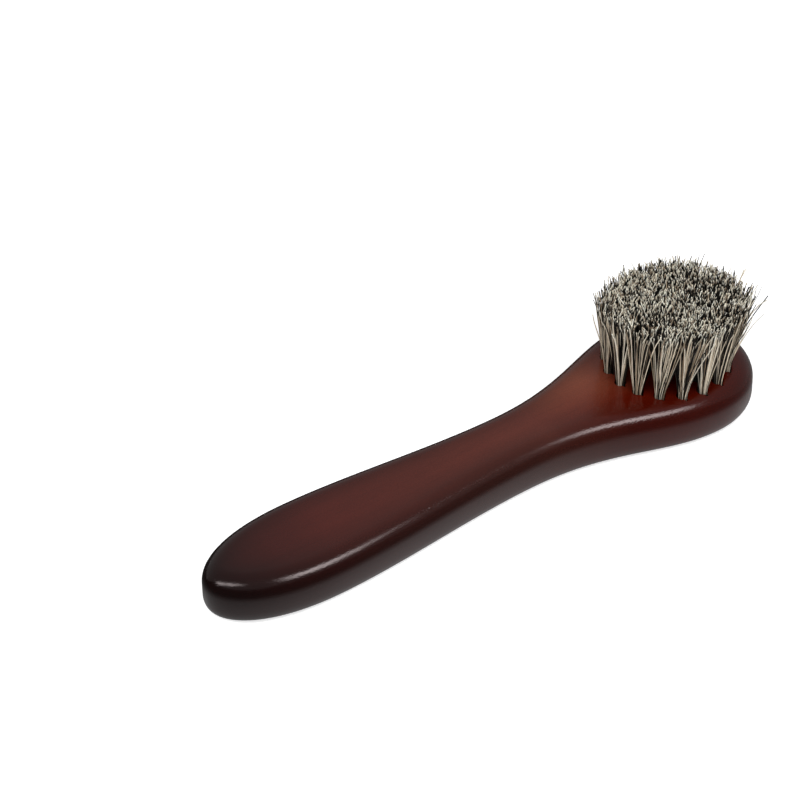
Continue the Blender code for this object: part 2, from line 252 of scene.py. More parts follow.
class HairSettings(bpy.types.PropertyGroup):
    """Sizes and colours of the horsehair."""

    inner_hairs: bpy.props.IntProperty(
        name="Inner Hairs", description="Number of hairs in a tuft of the inner ring", default=230)
    middle_hairs: bpy.props.IntProperty(
        name="Middle Hairs", description="Number of hairs in a tuft of the middle ring", default=245)
    outer_hairs: bpy.props.IntProperty(
        name="Outer Hairs", description="Number of hairs in a tuft of the outer ring", default=170)
    inner_fan: bpy.props.FloatVectorProperty(
        name="Inner Fan", description="How far an inner tuft's ends reach outwards and sideways",
        default=(4.9 * MM, 5.2 * MM), size=2, unit="LENGTH")
    middle_fan: bpy.props.FloatVectorProperty(
        name="Middle Fan", description="How far a middle tuft's ends reach outwards and sideways",
        default=(5.0 * MM, 5.9 * MM), size=2, unit="LENGTH")
    outer_fan: bpy.props.FloatVectorProperty(
        name="Outer Fan", description="How far an outer tuft's ends reach outwards and sideways",
        default=(3.6 * MM, 5.1 * MM), size=2, unit="LENGTH")
    locks: bpy.props.IntProperty(
        name="Locks", description="Number of locks that a tuft's hairs gather in", default=19)
    steps: bpy.props.IntProperty(
        name="Steps", description="Number of straight stretches along one hair", default=9)
    inner_width: bpy.props.FloatProperty(
        name="Inner Width", description="Thickness of the inner and middle tufts' hairs at the cut",
        default=0.26 * MM, unit="LENGTH")
    outer_width: bpy.props.FloatProperty(
        name="Outer Width", description="Thickness of the outer tufts' hairs at the cut",
        default=0.29 * MM, unit="LENGTH")
    length: bpy.props.FloatProperty(
        name="Hair Length", description="From the bristle face to the trimmed ends",
        default=23.1 * MM, unit="LENGTH")
    sunk: bpy.props.FloatProperty(
        name="Sunk", description="How deep the modelled hair reaches into its hole",
        default=2.0 * MM, unit="LENGTH")
    root_radius: bpy.props.FloatProperty(
        name="Root Radius", description="Radius of a tuft in its hole",
        default=1.3 * MM, unit="LENGTH")
    gathering: bpy.props.FloatProperty(
        name="Gathering", description="How close the hairs of a lock keep together", default=0.42,
        subtype="FACTOR")
    lock_bend: bpy.props.FloatProperty(
        name="Lock Bend", description="How far whole locks bend sideways",
        default=0.7 * MM, unit="LENGTH")
    hair_bend: bpy.props.FloatProperty(
        name="Hair Bend", description="How far single hairs bend sideways",
        default=1.4 * MM, unit="LENGTH")
    tip_curl: bpy.props.FloatProperty(
        name="Tip Curl", description="How far the last stretch of a hair curls sideways",
        default=1.3 * MM, unit="LENGTH")
    uneven_cut: bpy.props.FloatProperty(
        name="Uneven Cut", description="How much the hairs' lengths differ",
        default=0.5 * MM, unit="LENGTH")
    dark_gap: bpy.props.FloatProperty(
        name="Dark Gap", description="How much shorter the dark hairs are, in uneven cuts", default=2.2)
    outer_lean: bpy.props.FloatProperty(
        name="Outer Lean", description="How far the outermost holes lean outwards",
        default=math.radians(1.2), unit="ROTATION")
    pull: bpy.props.FloatProperty(
        name="Pull", description="How far the outer tufts bend towards the middle at their ends",
        default=0.9 * MM, unit="LENGTH")
    splay: bpy.props.FloatProperty(
        name="Splay", description="How far use has bent the tufts on one side outwards",
        default=3.0 * MM, unit="LENGTH")
    sweep: bpy.props.FloatProperty(
        name="Sweep", description="How far use has swept the tufts before that side towards it",
        default=3.6 * MM, unit="LENGTH")
    splay_bearing: bpy.props.FloatProperty(
        name="Splay Bearing", description="Direction of that side from the brush's middle",
        default=math.radians(-37), unit="ROTATION")
    press: bpy.props.FloatProperty(
        name="Press", description="How far use has bent the tufts on another side inwards",
        default=2.3 * MM, unit="LENGTH")
    wear: bpy.props.FloatProperty(
        name="Wear", description="How much shorter use has made the tufts there",
        default=1.3 * MM, unit="LENGTH")
    wear_bearing: bpy.props.FloatProperty(
        name="Wear Bearing", description="Direction of that side from the brush's middle",
        default=math.radians(95), unit="ROTATION")
    stray_reach: bpy.props.FloatProperty(
        name="Stray Reach", description="How far the stray hairs stick out",
        default=3.8 * MM, unit="LENGTH")
    stray_share: bpy.props.FloatProperty(
        name="Stray Share", description="Share of the hairs that stick out", default=0.03,
        subtype="FACTOR")
    lock_tone: bpy.props.FloatProperty(
        name="Lock Tone", description="How much paler or darker a whole lock may be", default=0.14)
    seed: bpy.props.IntProperty(
        name="Seed", description="Start of the random numbers that place the hairs", default=4300)
    tone_swing: bpy.props.FloatProperty(
        name="Tone Swing", description="How much paler every second tuft is", default=0.07)
    tone_bearing: bpy.props.FloatProperty(
        name="Tone Bearing", description="Direction of a pale tuft from the brush's middle",
        default=math.radians(-138), unit="ROTATION")
    dark_share: bpy.props.FloatProperty(
        name="Dark Share", description="Share of near-black hairs", default=0.42, subtype="FACTOR")
    dark_color: bpy.props.FloatVectorProperty(
        name="Dark Hair", description="Colour of the near-black hairs",
        default=(0.006, 0.0052, 0.0045), subtype="COLOR")
    brown_color: bpy.props.FloatVectorProperty(
        name="Brown Hair", description="Colour of the few brown hairs",
        default=(0.33, 0.26, 0.185), subtype="COLOR")
    grey_color: bpy.props.FloatVectorProperty(
        name="Grey Hair", description="Colour of the grey-beige hairs",
        default=(0.73, 0.67, 0.545), subtype="COLOR")
    pale_color: bpy.props.FloatVectorProperty(
        name="Pale Hair", description="Colour of the off-white hairs",
        default=(0.88, 0.86, 0.76), subtype="COLOR")
    foot_tint: bpy.props.FloatVectorProperty(
        name="Foot Tint", description="Colour that every hair is multiplied by below its cut end",
        default=(1.02, 0.945, 0.885))


class StageSettings(bpy.types.PropertyGroup):
    """Camera, lamps and floor."""

    azimuth: bpy.props.FloatProperty(
        name="Azimuth", description="Direction of the camera round the upright axis",
        default=math.radians(-37.316), unit="ROTATION")
    elevation: bpy.props.FloatProperty(
        name="Elevation", description="Height of the camera as an angle",
        default=math.radians(39.008), unit="ROTATION")
    roll: bpy.props.FloatProperty(
        name="Roll", description="Tilt of the camera about its own axis",
        default=math.radians(0.318), unit="ROTATION")
    distance: bpy.props.FloatProperty(
        name="Distance", description="From the camera to the place it is aimed by",
        default=0.890926, unit="LENGTH")
    lens: bpy.props.FloatProperty(
        name="Lens", description="Focal length in millimetres on a 36 mm wide sensor",
        default=139.17)
    aim: bpy.props.FloatVectorProperty(
        name="Aim", description="Place that the camera is aimed by",
        default=(0.0, 0.0, 0.0156), subtype="XYZ", unit="LENGTH")
    aim_shown: bpy.props.FloatVectorProperty(
        name="Aim Shown", description="Where that place shows, from the middle of the frame, in widths",
        default=(0.102555, -0.056479), size=2)
    room_light: bpy.props.FloatProperty(
        name="Room Light", description="Strength of the even light all round", default=0.33)
    # The cloth's glow is a painted reflection: of the lit floor at the object's foot, of the floor's shadow under it,
    # and of a dark room further off
    flag_step: bpy.props.FloatProperty(
        name="Flag Step", description="Width of the cloth's first strips, three under the object's edge",
        default=1 * MM, unit="LENGTH")
    flag_contact: bpy.props.FloatProperty(
        name="Flag Contact", description="Distance in which the cloth turns pale from under the object",
        default=7 * MM, unit="LENGTH")
    flag_clearance: bpy.props.FloatProperty(
        name="Flag Clearance", description="Height of the cloth where it lies",
        default=0.2 * MM, unit="LENGTH")
    flag_height: bpy.props.FloatProperty(
        name="Flag Height", description="Height to which the cloth rises in front",
        default=0.3, unit="LENGTH")
    flag_foot: bpy.props.FloatProperty(
        name="Flag Foot", description="Brightness of the cloth at the object", default=1.15)
    flag_end: bpy.props.FloatProperty(
        name="Flag End", description="How much darker it is there round the handle's end", default=0.3)
    flag_rest: bpy.props.FloatProperty(
        name="Flag Rest", description="Brightness of the cloth away from the object", default=0.06)
    flag_fade: bpy.props.FloatProperty(
        name="Flag Fade", description="Distance in which the cloth turns dark",
        default=14 * MM, unit="LENGTH")
    floor_size: bpy.props.FloatProperty(
        name="Floor Size", description="Width of the floor", default=8.0, unit="LENGTH")
    floor_height: bpy.props.FloatProperty(
        name="Floor Height", description="How far the object sinks in, so that its back shows from below",
        default=0.02 * MM, unit="LENGTH")


# Nodes


def feed(tree, socket, value):
    """Links a socket to another one, or sets its value."""
    if isinstance(value, bpy.types.NodeSocket):
        tree.links.new(value, socket)
    else:
        socket.default_value = value


def add_node(tree, kind, inputs=None, **settings):
    """A node with its settings, and with its inputs fed by name or number."""
    node = tree.nodes.new(kind)
    for name, value in settings.items():
        setattr(node, name, value)
    for key, value in (inputs or {}).items():
        feed(tree, node.inputs[key], value)
    return node


def work_out(tree, operation, *values):
    """The result of one sum on numbers."""
    node = add_node(tree, "ShaderNodeMath", operation=operation)
    for socket, value in zip(node.inputs, values):
        feed(tree, socket, value)
    return node.outputs[0]


def times(tree, first, second):
    return work_out(tree, "MULTIPLY", first, second)


def move(tree, operation, first, second):
    """The result of one sum on vectors, or a vector times a number."""
    place = "Scale" if operation == "SCALE" else 1
    node = add_node(tree, "ShaderNodeVectorMath", {0: first, place: second}, operation=operation)
    return node.outputs[0]


def blend(tree, share, first, second, kind="FLOAT"):
    """A mix of two numbers, vectors or colours."""
    node = add_node(tree, "ShaderNodeMix", data_type=kind)
    start = {"FLOAT": 2, "VECTOR": 4, "RGBA": 6}[kind]
    for index, value in ((0, share), (start, first), (start + 1, second)):
        feed(tree, node.inputs[index], value)
    return node.outputs[{"FLOAT": 0, "VECTOR": 1, "RGBA": 2}[kind]]


def in_range(tree, value, low, high, to_low=0.0, to_high=1.0, smooth=False):
    """A number brought from one range into another, and held there."""
    kind = "SMOOTHSTEP" if smooth else "LINEAR"
    node = add_node(tree, "ShaderNodeMapRange", interpolation_type=kind)
    for index, number in enumerate((value, low, high, to_low, to_high)):
        feed(tree, node.inputs[index], number)
    return node.outputs[0]


def from_noise(tree, value, low, high):
    """A noise, of which nearly all lies between 0.3 and 0.7, brought into a range."""
    return in_range(tree, value, 0.3, 0.7, low, high)


def noise(tree, place, scale, detail=2.0, distortion=0.0):
    inputs = {"Vector": place, "Scale": scale, "Detail": detail, "Distortion": distortion}
    return add_node(tree, "ShaderNodeTexNoise", inputs).outputs[0]


def stretched(tree, place, scale):
    """A place that makes a pattern longer along the axes with a small scale."""
    return add_node(tree, "ShaderNodeMapping", {"Vector": place, "Scale": scale}).outputs[0]


def object_place(tree):
    return add_node(tree, "ShaderNodeTexCoord").outputs["Object"]


def stored_number(tree, name):
    """The number that a mesh holds under a name."""
    return add_node(tree, "ShaderNodeAttribute", attribute_name=name).outputs["Fac"]


def color_ramp(tree, value, stops):
    """A colour by a number, from stops that are pairs of number and colour."""
    ramp = add_node(tree, "ShaderNodeValToRGB", {0: value})
    while len(ramp.color_ramp.elements) < len(stops):
        ramp.color_ramp.elements.new(0.5)
    for element, (place, shade) in zip(ramp.color_ramp.elements, stops):
        element.position = place
        element.color = color(shade)
    return ramp.outputs[0]


def new_group(name, kind, inputs, outputs):
    """A node group with named sockets, and its input and output nodes."""
    tree = bpy.data.node_groups.new(name, kind)
    for label, socket, default in inputs:
        made = tree.interface.new_socket(name=label, in_out="INPUT", socket_type=socket)
        if default is not None:
            made.default_value = default
    for label, socket in outputs:
        tree.interface.new_socket(name=label, in_out="OUTPUT", socket_type=socket)
    return tree, tree.nodes.new("NodeGroupInput").outputs, tree.nodes.new("NodeGroupOutput").inputs


def new_material(name):
    """A material with its node tree and its Principled shader."""
    material = bpy.data.materials.new(name)
    material.use_nodes = True
    return material, material.node_tree, material.node_tree.nodes["Principled BSDF"]


def set_shader(tree, shader, **values):
    """Sets or links inputs of a shader, by their names in small letters."""
    for name, value in values.items():
        feed(tree, shader.inputs[name.replace("_", " ").title().replace("Ior", "IOR")], value)


def color(value):
    return (*value, 1.0)


# Wood and its lacquer


FIGURE_STRETCH = (0.06, 1.0, 1.0)       # the wood's figure is long along the axis where this is small
STREAKS_SCALE, PORES_SCALE = 260.0, 1500.0
PORE_MASK = (0.62, 0.74)                # noise at which a pore starts, and at which it is full
PORE_STRENGTH, PORE_SHADE = 0.15, 0.3   # how much of a pore shows, and what is left of the colour in it
PATCH_RAGGED = 0.5                      # how far the clouds move the warm patch's border, in its reaches
PATCH_BORDER = (1.25, 0.3)              # in the same unit, where the patch starts and where it is full
EDGE_POWER = 1.5                        # how suddenly the dark lacquer of the sides ends
SHOULDER = (0.55, 0.8)                  # where along the block the handle's shade turns into the head's
# How much each pattern darkens and lightens the lacquer, and how much the speckles change its roughness
MOTTLE, GRAIN, FLECK = (0.92, 1.08), (0.94, 1.06), (0.9, 1.1)
ROUGH_SWING = 0.04


def speckle_group():
    """Fine speckles and soft clouds, which lacquers and metals both show."""
    inputs = (
        ("Vector", "NodeSocketVector", None),
        ("Cloud Size", "NodeSocketFloat", 0.02),
        ("Speckle Size", "NodeSocketFloat", 0.00045),
    )
    outputs = (("Clouds", "NodeSocketFloat"), ("Speckles", "NodeSocketFloat"))
    tree, given, result = new_group("speckles", "ShaderNodeTree", inputs, outputs)
    for name, size, detail in (("Clouds", "Cloud Size", 3.0), ("Speckles", "Speckle Size", 2.0)):
        scale = work_out(tree, "DIVIDE", 1.0, given[size])
        feed(tree, result[name], noise(tree, given["Vector"], scale, detail))
    return tree


def speckled(tree, speckles, place, **sizes):
    """The speckle group placed in a material, with the sizes that differ from the group's own."""
    group = add_node(tree, "ShaderNodeGroup", node_tree=speckles)
    feed(tree, group.inputs["Vector"], place)
    for name, size in sizes.items():
        feed(tree, group.inputs[name.replace("_", " ").title()], size)
    return group


def wood_figure(tree, place):
    """Long dark streaks and short pores that run along the block."""
    along = stretched(tree, place, FIGURE_STRETCH)
    streaks = noise(tree, along, STREAKS_SCALE, detail=4.0, distortion=0.4)
    pores = noise(tree, along, PORES_SCALE, detail=1.0)
    return streaks, in_range(tree, pores, *PORE_MASK)


def sunburst(tree, finish, along):
    """The lacquer's colour by the place along the block."""
    stops = (
        (0.030, finish.end_color), (0.20, finish.grip_color), (0.60, finish.neck_color),
        (0.74, finish.head_color),
    )
    return color_ramp(tree, along, stops)


def warm_patch(tree, finish, place, body, clouds):
    """A warmer spot where the neck runs into the head, with a cloudy border."""
    centred = add_node(
        tree, "ShaderNodeMapping",
        {"Vector": place, "Location": finish.patch_place, "Scale": finish.patch_size}, vector_type="TEXTURE")
    away = add_node(tree, "ShaderNodeVectorMath", {0: centred.outputs[0]}, operation="LENGTH")
    ragged = work_out(tree, "MULTIPLY_ADD", clouds, PATCH_RAGGED, away.outputs["Value"])
    mask = in_range(tree, ragged, *PATCH_BORDER, smooth=True)
    return blend(tree, mask, body, color(finish.warm_color), kind="RGBA")


def edge_shade(tree, finish, along):
    """What is left of the colour towards the outline, and on the sides."""
    inset = stored_number(tree, "inset")
    rise = work_out(tree, "POWER", work_out(tree, "DIVIDE", inset, finish.edge_reach), EDGE_POWER)
    depth = work_out(tree, "SUBTRACT", 1.0, work_out(tree, "EXPONENT", times(tree, rise, -1.0)))
    edge = in_range(tree, along, *SHOULDER, finish.handle_shade, finish.head_shade)
    return blend(tree, depth, edge, 1.0)


def lacquer_material(finish, speckles):
    material, tree, shader = new_material("sunburst_lacquer")
    place = object_place(tree)
    across = add_node(tree, "ShaderNodeSeparateXYZ", {0: place}).outputs
    along = in_range(tree, across["X"], CAD_BOX[0][0], CAD_BOX[1][0])
    group = speckled(tree, speckles, place)
    clouds, flecks = group.outputs["Clouds"], group.outputs["Speckles"]
    streaks, pores = wood_figure(tree, place)

    body = warm_patch(tree, finish, place, sunburst(tree, finish, along), clouds)
    share = edge_shade(tree, finish, along)
    for pattern, span in ((clouds, MOTTLE), (streaks, GRAIN), (flecks, FLECK)):
        share = times(tree, share, from_noise(tree, pattern, *span))
    share = blend(tree, times(tree, pores, PORE_STRENGTH), share, PORE_SHADE)
    rough = from_noise(tree, flecks, finish.roughness - ROUGH_SWING, finish.roughness + ROUGH_SWING)
    bump = add_node(tree, "ShaderNodeBump", {"Height": flecks, "Distance": 0.09 * MM, "Strength": 0.5})
    set_shader(
        tree, shader, base_color=move(tree, "SCALE", body, share), roughness=rough,
        normal=bump.outputs[0], ior=1.47, specular_tint=(1.0, 0.87, 0.87, 1.0))
    return material


ROUND_STEPS = 12               # faces across each rounded edge
FLAT_STRIP = 0.4 * MM          # width of the flat strip next to each rounded edge
INSET_SPACING = 0.25 * MM      # between the points that the inset is measured from
HALF_POINT_ANGLE = 59          # degrees between the slope of a drill's point and its axis
DRILL_RISE, GROOVE_RISE = 3 * MM, 1.5 * MM   # how far the cutters reach above the face
GROOVE_DEPTH = 1.3 * MM        # how far the grooves reach below the anchors' middles
SHARP_ANGLE = 32               # degrees from which an edge is shown sharp
ON_SURFACE = 0.01 * MM         # how near the undrilled block a vertex is that lies on it
SAME_WAY = 0.8                 # cosine of how far a face may turn from the smooth normal and still take it


def bezier(points, share):
    """A point and the direction of travel on one stretch of the outline."""
    start, lead, fade, end = points
    rest = 1 - share
    place = rest**3 * start + 3 * rest**2 * share * lead + 3 * rest * share**2 * fade + share**3 * end
    travel = rest**2 * (lead - start) + 2 * rest * share * (fade - lead) + share**2 * (end - fade)
    return place, travel.normalized()


def outline_stretches(block):
    """The four curves of one side of the outline, from the handle's end to the head's tip."""
    low, high = (Vector(corner) for corner in CAD_BOX)
    grip = block.grip_width / 2
    head = (high.y - low.y) / 2
    length = high.x - low.x
    head_at = length - block.head_setback
    shank = block.neck_setback - block.grip_setback
    shoulder = head_at - block.neck_setback
    end = block.end_spread * grip
    tip = block.tip_fullness
    knots = (
        (0.0, 0.0, (0, 1), end, end),
        (block.grip_setback, grip, (1, 0), block.grip_lead * block.grip_setback, block.grip_fade * shank),
        (block.neck_setback, block.neck_width / 2, (1, 0), block.neck_lead * shank,
         block.neck_fade * shoulder),
        (head_at, head, (1, 0), block.head_lead * shoulder, tip * block.head_setback),
        (length, 0.0, (0, -1), tip * head, tip * head),
    )
    stretches = []
    for before, after in zip(knots, knots[1:]):
        start = Vector((low.x + before[0], before[1]))
        finish = Vector((low.x + after[0], after[1]))
        lead = start + Vector(before[2]) * before[4]
        fade = finish - Vector(after[2]) * after[3]
        stretches.append((start, lead, fade, finish))
    return stretches


def outline_points(block, spacing):
    """Points along one side of the outline, each with the direction out of the block."""
    points = []
    for stretch in outline_stretches(block):
        steps = max(4, round((stretch[3] - stretch[0]).length / spacing))
        for step in range(steps):
            place, travel = bezier(stretch, step / steps)
            points.append((place, Vector((-travel.y, travel.x))))
    place, travel = bezier(outline_stretches(block)[-1], 1.0)
    points.append((place, Vector((-travel.y, travel.x))))
    return points


def section(block):
    """The cross section as pairs of inset and height, from inside the back round to inside the face."""
    back, face, top = block.back_round, block.face_round, block.thickness
    angles = [math.pi / 2 * step / ROUND_STEPS for step in range(ROUND_STEPS + 1)]
    pairs = [(back + FLAT_STRIP, 0.0)]
    pairs += [(back * (1 - math.sin(angle)), back * (1 - math.cos(angle))) for angle in angles]
    pairs.append((0.0, (back + top - face) / 2))
    pairs += [(face * (1 - math.cos(angle)), top - face * (1 - math.sin(angle))) for angle in angles]
    pairs.append((face + FLAT_STRIP, top))
    return pairs


def column(block, place, outwards):
    """The vertices of one cross section, from the middle of the back to the middle of the face."""
    rows = []
    for inset, height in section(block):
        shifted = place - outwards * inset
        rows.append(Vector((shifted.x, max(0.0, shifted.y), height)))
    shares = (0.0, 0.25, 0.5, 0.75)
    back = [Vector((rows[0].x, rows[0].y * share, rows[0].z)) for share in shares]
    face = [Vector((rows[-1].x, rows[-1].y * share, rows[-1].z)) for share in reversed(shares)]
    return back + rows + face


def finished(work, name):
    """The mesh that a bmesh was worked into."""
    mesh = bpy.data.meshes.new(name)
    work.to_mesh(mesh)
    work.free()
    return mesh


def solid_block(block):
    """The block without its holes: one side made column by column, and its mirror image."""
    work = bmesh.new()
    columns = [column(block, *point) for point in outline_points(block, block.spacing)]
    for side in (1, -1):
        grid = [[work.verts.new((v.x, v.y * side, v.z)) for v in rows] for rows in columns]
        for before, after in zip(grid, grid[1:]):
            for row in range(len(before) - 1):
                work.faces.new((before[row], after[row], after[row + 1], before[row + 1]))
    bmesh.ops.remove_doubles(work, verts=work.verts, dist=1e-6)
    bmesh.ops.dissolve_degenerate(work, dist=1e-7, edges=work.edges)
    bmesh.ops.recalc_face_normals(work, faces=work.faces)
    return finished(work, "block")


def new_object(name, mesh):
    obj = bpy.data.objects.new(name, mesh)
    bpy.context.scene.collection.objects.link(obj)
    return obj


def middle(name):
    low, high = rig.box(name)
    return (Vector(low) + Vector(high)) / 2


def ring_names(ring, piece):
    return sorted(name for name in frame["nodes"] if name.startswith(f"{ring}_{piece}_"))


def hole_axes(thickness, outer_lean):
    """For every tuft: its ring, its number, and the frame of its hole, with Z up the hole."""
    inner = [middle(name) for name in ring_names("inner", "anchor")]
    centre = sum(inner, Vector()) / len(inner)
    reach = max((middle(name) - centre).length for name in ring_names("outer", "anchor"))
    axes = []
    for ring in RINGS:
        for name in ring_names(ring, "anchor"):
            place = middle(name)
            outwards = (place - centre).to_2d()
            lean = outer_lean * outwards.length / reach
            outwards.normalize()
            turn = Matrix.Rotation(lean, 4, Vector((-outwards.y, outwards.x, 0.0)))
            up = turn @ Vector((0, 0, 1))
            mouth = place + up * ((thickness - place.z) / up.z)
            number = name.rsplit("_", 1)[1]
            bearing = math.atan2(outwards.y, outwards.x)
            axes.append((ring, number, Matrix.Translation(mouth) @ turn, bearing))
    return axes


def drill_mesh(block):
    """The drill's shape, from above the face down to its point."""
    work = bmesh.new()
    radius = block.hole_diameter / 2
    bmesh.ops.create_cone(
        work, cap_ends=True, segments=24, radius1=radius, radius2=radius, depth=1.0)
    for vert in work.verts:
        vert.co.z = DRILL_RISE if vert.co.z > 0 else -block.hole_depth
    floor = [face for face in work.faces if face.normal.z < -0.9]
    point = bmesh.ops.poke(work, faces=floor)["verts"][0]
    point.co.z -= radius / math.tan(math.radians(HALF_POINT_ANGLE))
    return finished(work, "drill")


def groove_mesh(block):
    """The slot that an anchor's ends cut into the wood on the way down."""
    work = bmesh.new()
    bmesh.ops.create_cube(work, size=1.0)
    low = middle("inner_anchor_01").z - block.thickness - GROOVE_DEPTH
    for vert in work.verts:
        vert.co.x *= block.groove_width
        vert.co.y *= block.groove_length
        vert.co.z = GROOVE_RISE if vert.co.z > 0 else low
    return finished(work, "groove")


def repeated(mesh, places, name):
    """One object with a copy of a mesh at every place."""
    work = bmesh.new()
    for place in places:
        copy = mesh.copy()
        copy.transform(place)
        work.from_mesh(copy)
        bpy.data.meshes.remove(copy)
    return new_object(name, finished(work, name))


def plain_mesh(obj, name):
    """An object's evaluated shape as a mesh of its own."""
    graph = bpy.context.evaluated_depsgraph_get()
    graph.update()
    mesh = bpy.data.meshes.new_from_object(obj.evaluated_get(graph))
    mesh.name = name
    return mesh


def cut(obj, cutter):
    """Takes one object's shape out of another."""
    boolean = obj.modifiers.new("cut", "BOOLEAN")
    boolean.operation = "DIFFERENCE"
    boolean.object = cutter
    mesh = plain_mesh(obj, obj.name)
    obj.modifiers.clear()
    obj.data = mesh
    bpy.data.objects.remove(cutter)


def smooth_normals(solid, places):
    """The smooth normal on the undrilled block at each place, or nothing for a place that is inside it."""
    corners = [vert.co for vert in solid.vertices]
    normals = [normal.vector for normal in solid.vertex_normals]
    faces = [tuple(face.vertices) for face in solid.polygons]
    tree = BVHTree.FromPolygons(corners, faces)
    found = []
    for place in places:
        spot, _, index, away = tree.find_nearest(place)
        face = faces[index]
        weights = poly_3d_calc([corners[corner] for corner in face], spot)
        normal = sum((normals[corner] * weight for corner, weight in zip(face, weights)), Vector())
        found.append(normal.normalized() if away < ON_SURFACE else None)
    return found


def shade_like(mesh, solid):
    """Shades the wood round the holes as if it weren't drilled, and leaves the holes' own faces."""
    mesh.shade_smooth()
    mesh.set_sharp_from_angle(angle=math.radians(SHARP_ANGLE))
    smooth = smooth_normals(solid, [vert.co for vert in mesh.vertices])
    shown = [normal.vector.copy() for normal in mesh.corner_normals]
    for face in mesh.polygons:
        for loop in face.loop_indices:
            normal = smooth[mesh.loops[loop].vertex_index]
            if normal and normal.dot(face.normal) > SAME_WAY:
                shown[loop] = normal
    mesh.normals_split_custom_set(shown)


def store_inset(mesh, block):
    """Writes on every vertex how far inside the outline it is, seen from above."""
    outline = [point for point, _ in outline_points(block, INSET_SPACING)]
    tree = KDTree(2 * len(outline))
    for index, point in enumerate(outline):
        tree.insert((point.x, point.y, 0.0), 2 * index)
        tree.insert((point.x, -point.y, 0.0), 2 * index + 1)
    tree.balance()
    inset = mesh.attributes.new("inset", "FLOAT", "POINT")
    for vert, entry in zip(mesh.vertices, inset.data):
        entry.value = tree.find((vert.co.x, vert.co.y, 0.0))[2]


class DAUBER_OT_block(bpy.types.Operator):
    """Make the lacquered wooden block with its drilled holes"""

    bl_idname = "dauber.block"
    bl_label = "Wooden Block"

    def execute(self, context):
        block = context.scene.dauber_block
        places = [axis[2] for axis in hole_axes(block.thickness, context.scene.dauber_hair.outer_lean)]
        solid = solid_block(block)
        piece = new_object("paddle_block", solid)
        cut(piece, repeated(drill_mesh(block), places, "drills"))
        cut(piece, repeated(groove_mesh(block), places, "grooves"))
        shade_like(piece.data, solid)
        store_inset(piece.data, block)
        piece.data.materials.clear()
        piece.data.materials.append(lacquer_material(context.scene.dauber_finish, speckle_group()))
        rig.ride(piece, "root")
        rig.replaces(piece, "wooden_block")
        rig.slot(piece, "wood")
        return {"FINISHED"}


# Horsehair


def hair_material(hair):
    """Mixed horsehair: near-black, grey-beige and off-white hairs, by a number stored on each, with painted shade
    towards the roots and inside the brush, and painted light at the cut ends inside it.
    """
    material, tree, shader = new_material("mixed_horsehair")
    rise = stored_number(tree, "rise")
    dark = hair.dark_share
    stops = (
        (0.0, hair.dark_color), (dark, hair.dark_color), (dark + 0.04, hair.brown_color),
        (dark + 0.14, hair.brown_color), (dark + 0.18, hair.grey_color), (0.8, hair.grey_color),
        (0.95, hair.pale_color),
    )
    shade = color_ramp(tree, stored_number(tree, "hair_tone"), stops)
    streaks = noise(tree, stretched(tree, object_place(tree), (1.0, 1.0, 0.12)), 2500.0)
    streak = from_noise(tree, streaks, 0.75, 1.2)
    # Painted shade: a hair outside the brush turns darker towards its root
    foot = in_range(tree, rise, *FOOT_PAINTED_SHADE)
    # Painted shade inside the brush below the cut ends, and painted light at them
    inside = in_range(tree, rise, *INSIDE_PAINTED_SHADE)
    share = times(tree, streak, blend(tree, stored_number(tree, "shelter"), foot, inside))
    warmth = in_range(tree, rise, *FOOT_WARMTH)
    tint = blend(tree, warmth, (1.0, 1.0, 1.0), hair.foot_tint, kind="VECTOR")
    shown = move(tree, "SCALE", move(tree, "MULTIPLY", shade, tint), share)
    set_shader(tree, shader, base_color=shown, roughness=from_noise(tree, streaks, 0.38, 0.52), ior=1.36)
    return material


# What is left of a setting on each ring: use wears the outer tufts most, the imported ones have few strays,
# and only the outer ones are seen from the side, where whole locks show and the dark hairs are no shorter
WORN = {"inner": 0.33, "middle": 0.68, "outer": 1.0}
STRAYS = {"inner": 0.25, "middle": 0.25, "outer": 1.0}
LOCK_TONES = {"inner": 0.0, "middle": 0.0, "outer": 1.0}
DARK_GAPS = {"inner": 1.0, "middle": 1.0, "outer": 0.36}
# Hairs get painted shade inside the brush up to this place in their hole, in its radii, with outwards as plus
SHELTER_EDGES = {"inner": 2.0, "middle": 2.0, "outer": 0.3}
# Each kind of random number has a number of its own, which is added to the tuft's seed
DRAWS = {
    "root": 0, "cut": 1, "short": 2, "stray": 3, "hair bend": 4, "lock bend": 5, "tip curl": 6,
    "tone": 7, "width": 9, "long": 10, "lock": 11, "lean": 12, "stray size": 13, "lock tone": 14,
}
SEED_STEP = 40
# Lowest and highest of the draws of a single number that don't run from 0 to 1
SPANS = {
    "cut": (-0.5, 0.5), "stray size": (0.1, 1.0), "lock tone": (-1.0, 1.0), "lean": (0.2, 1.8),
    "width": (0.65, 1.2),
}
# Draws that are small for nearly all hairs: the power that makes them so, and the most, in uneven cuts
RARE = {"long": (12.0, 3.5), "short": (6.0, 5.0)}
# How late each change comes on the way up a hair, as the power of the height
LATE = {
    "fan": 0.95, "gather": 0.4, "stray": 1.8, "lean": 1.3, "hair bend": 1.3, "lock bend": 1.1,
    "tip curl": 8.0,
}
ROOT_SCATTER, LOCK_SCATTER = 0.07, 0.3   # in radii of the tuft
STRAY_BEND = 1.5                         # how much more the stray hairs bend, in hair bends
TIP_GATHERING = 0.25                     # what is left of the gathering at the cut
DARK_TONES = (0.3, 0.44)                 # the dark gap is whole up to the first tone and ends at the second
SHELTER_FADE = 0.2                       # on both sides of the shelter's edge, in radii of the tuft
SWEEP_MIDDLE, SWEEP_REACH = 0.15, 0.55   # as cosines from the splayed side: round where tufts are swept
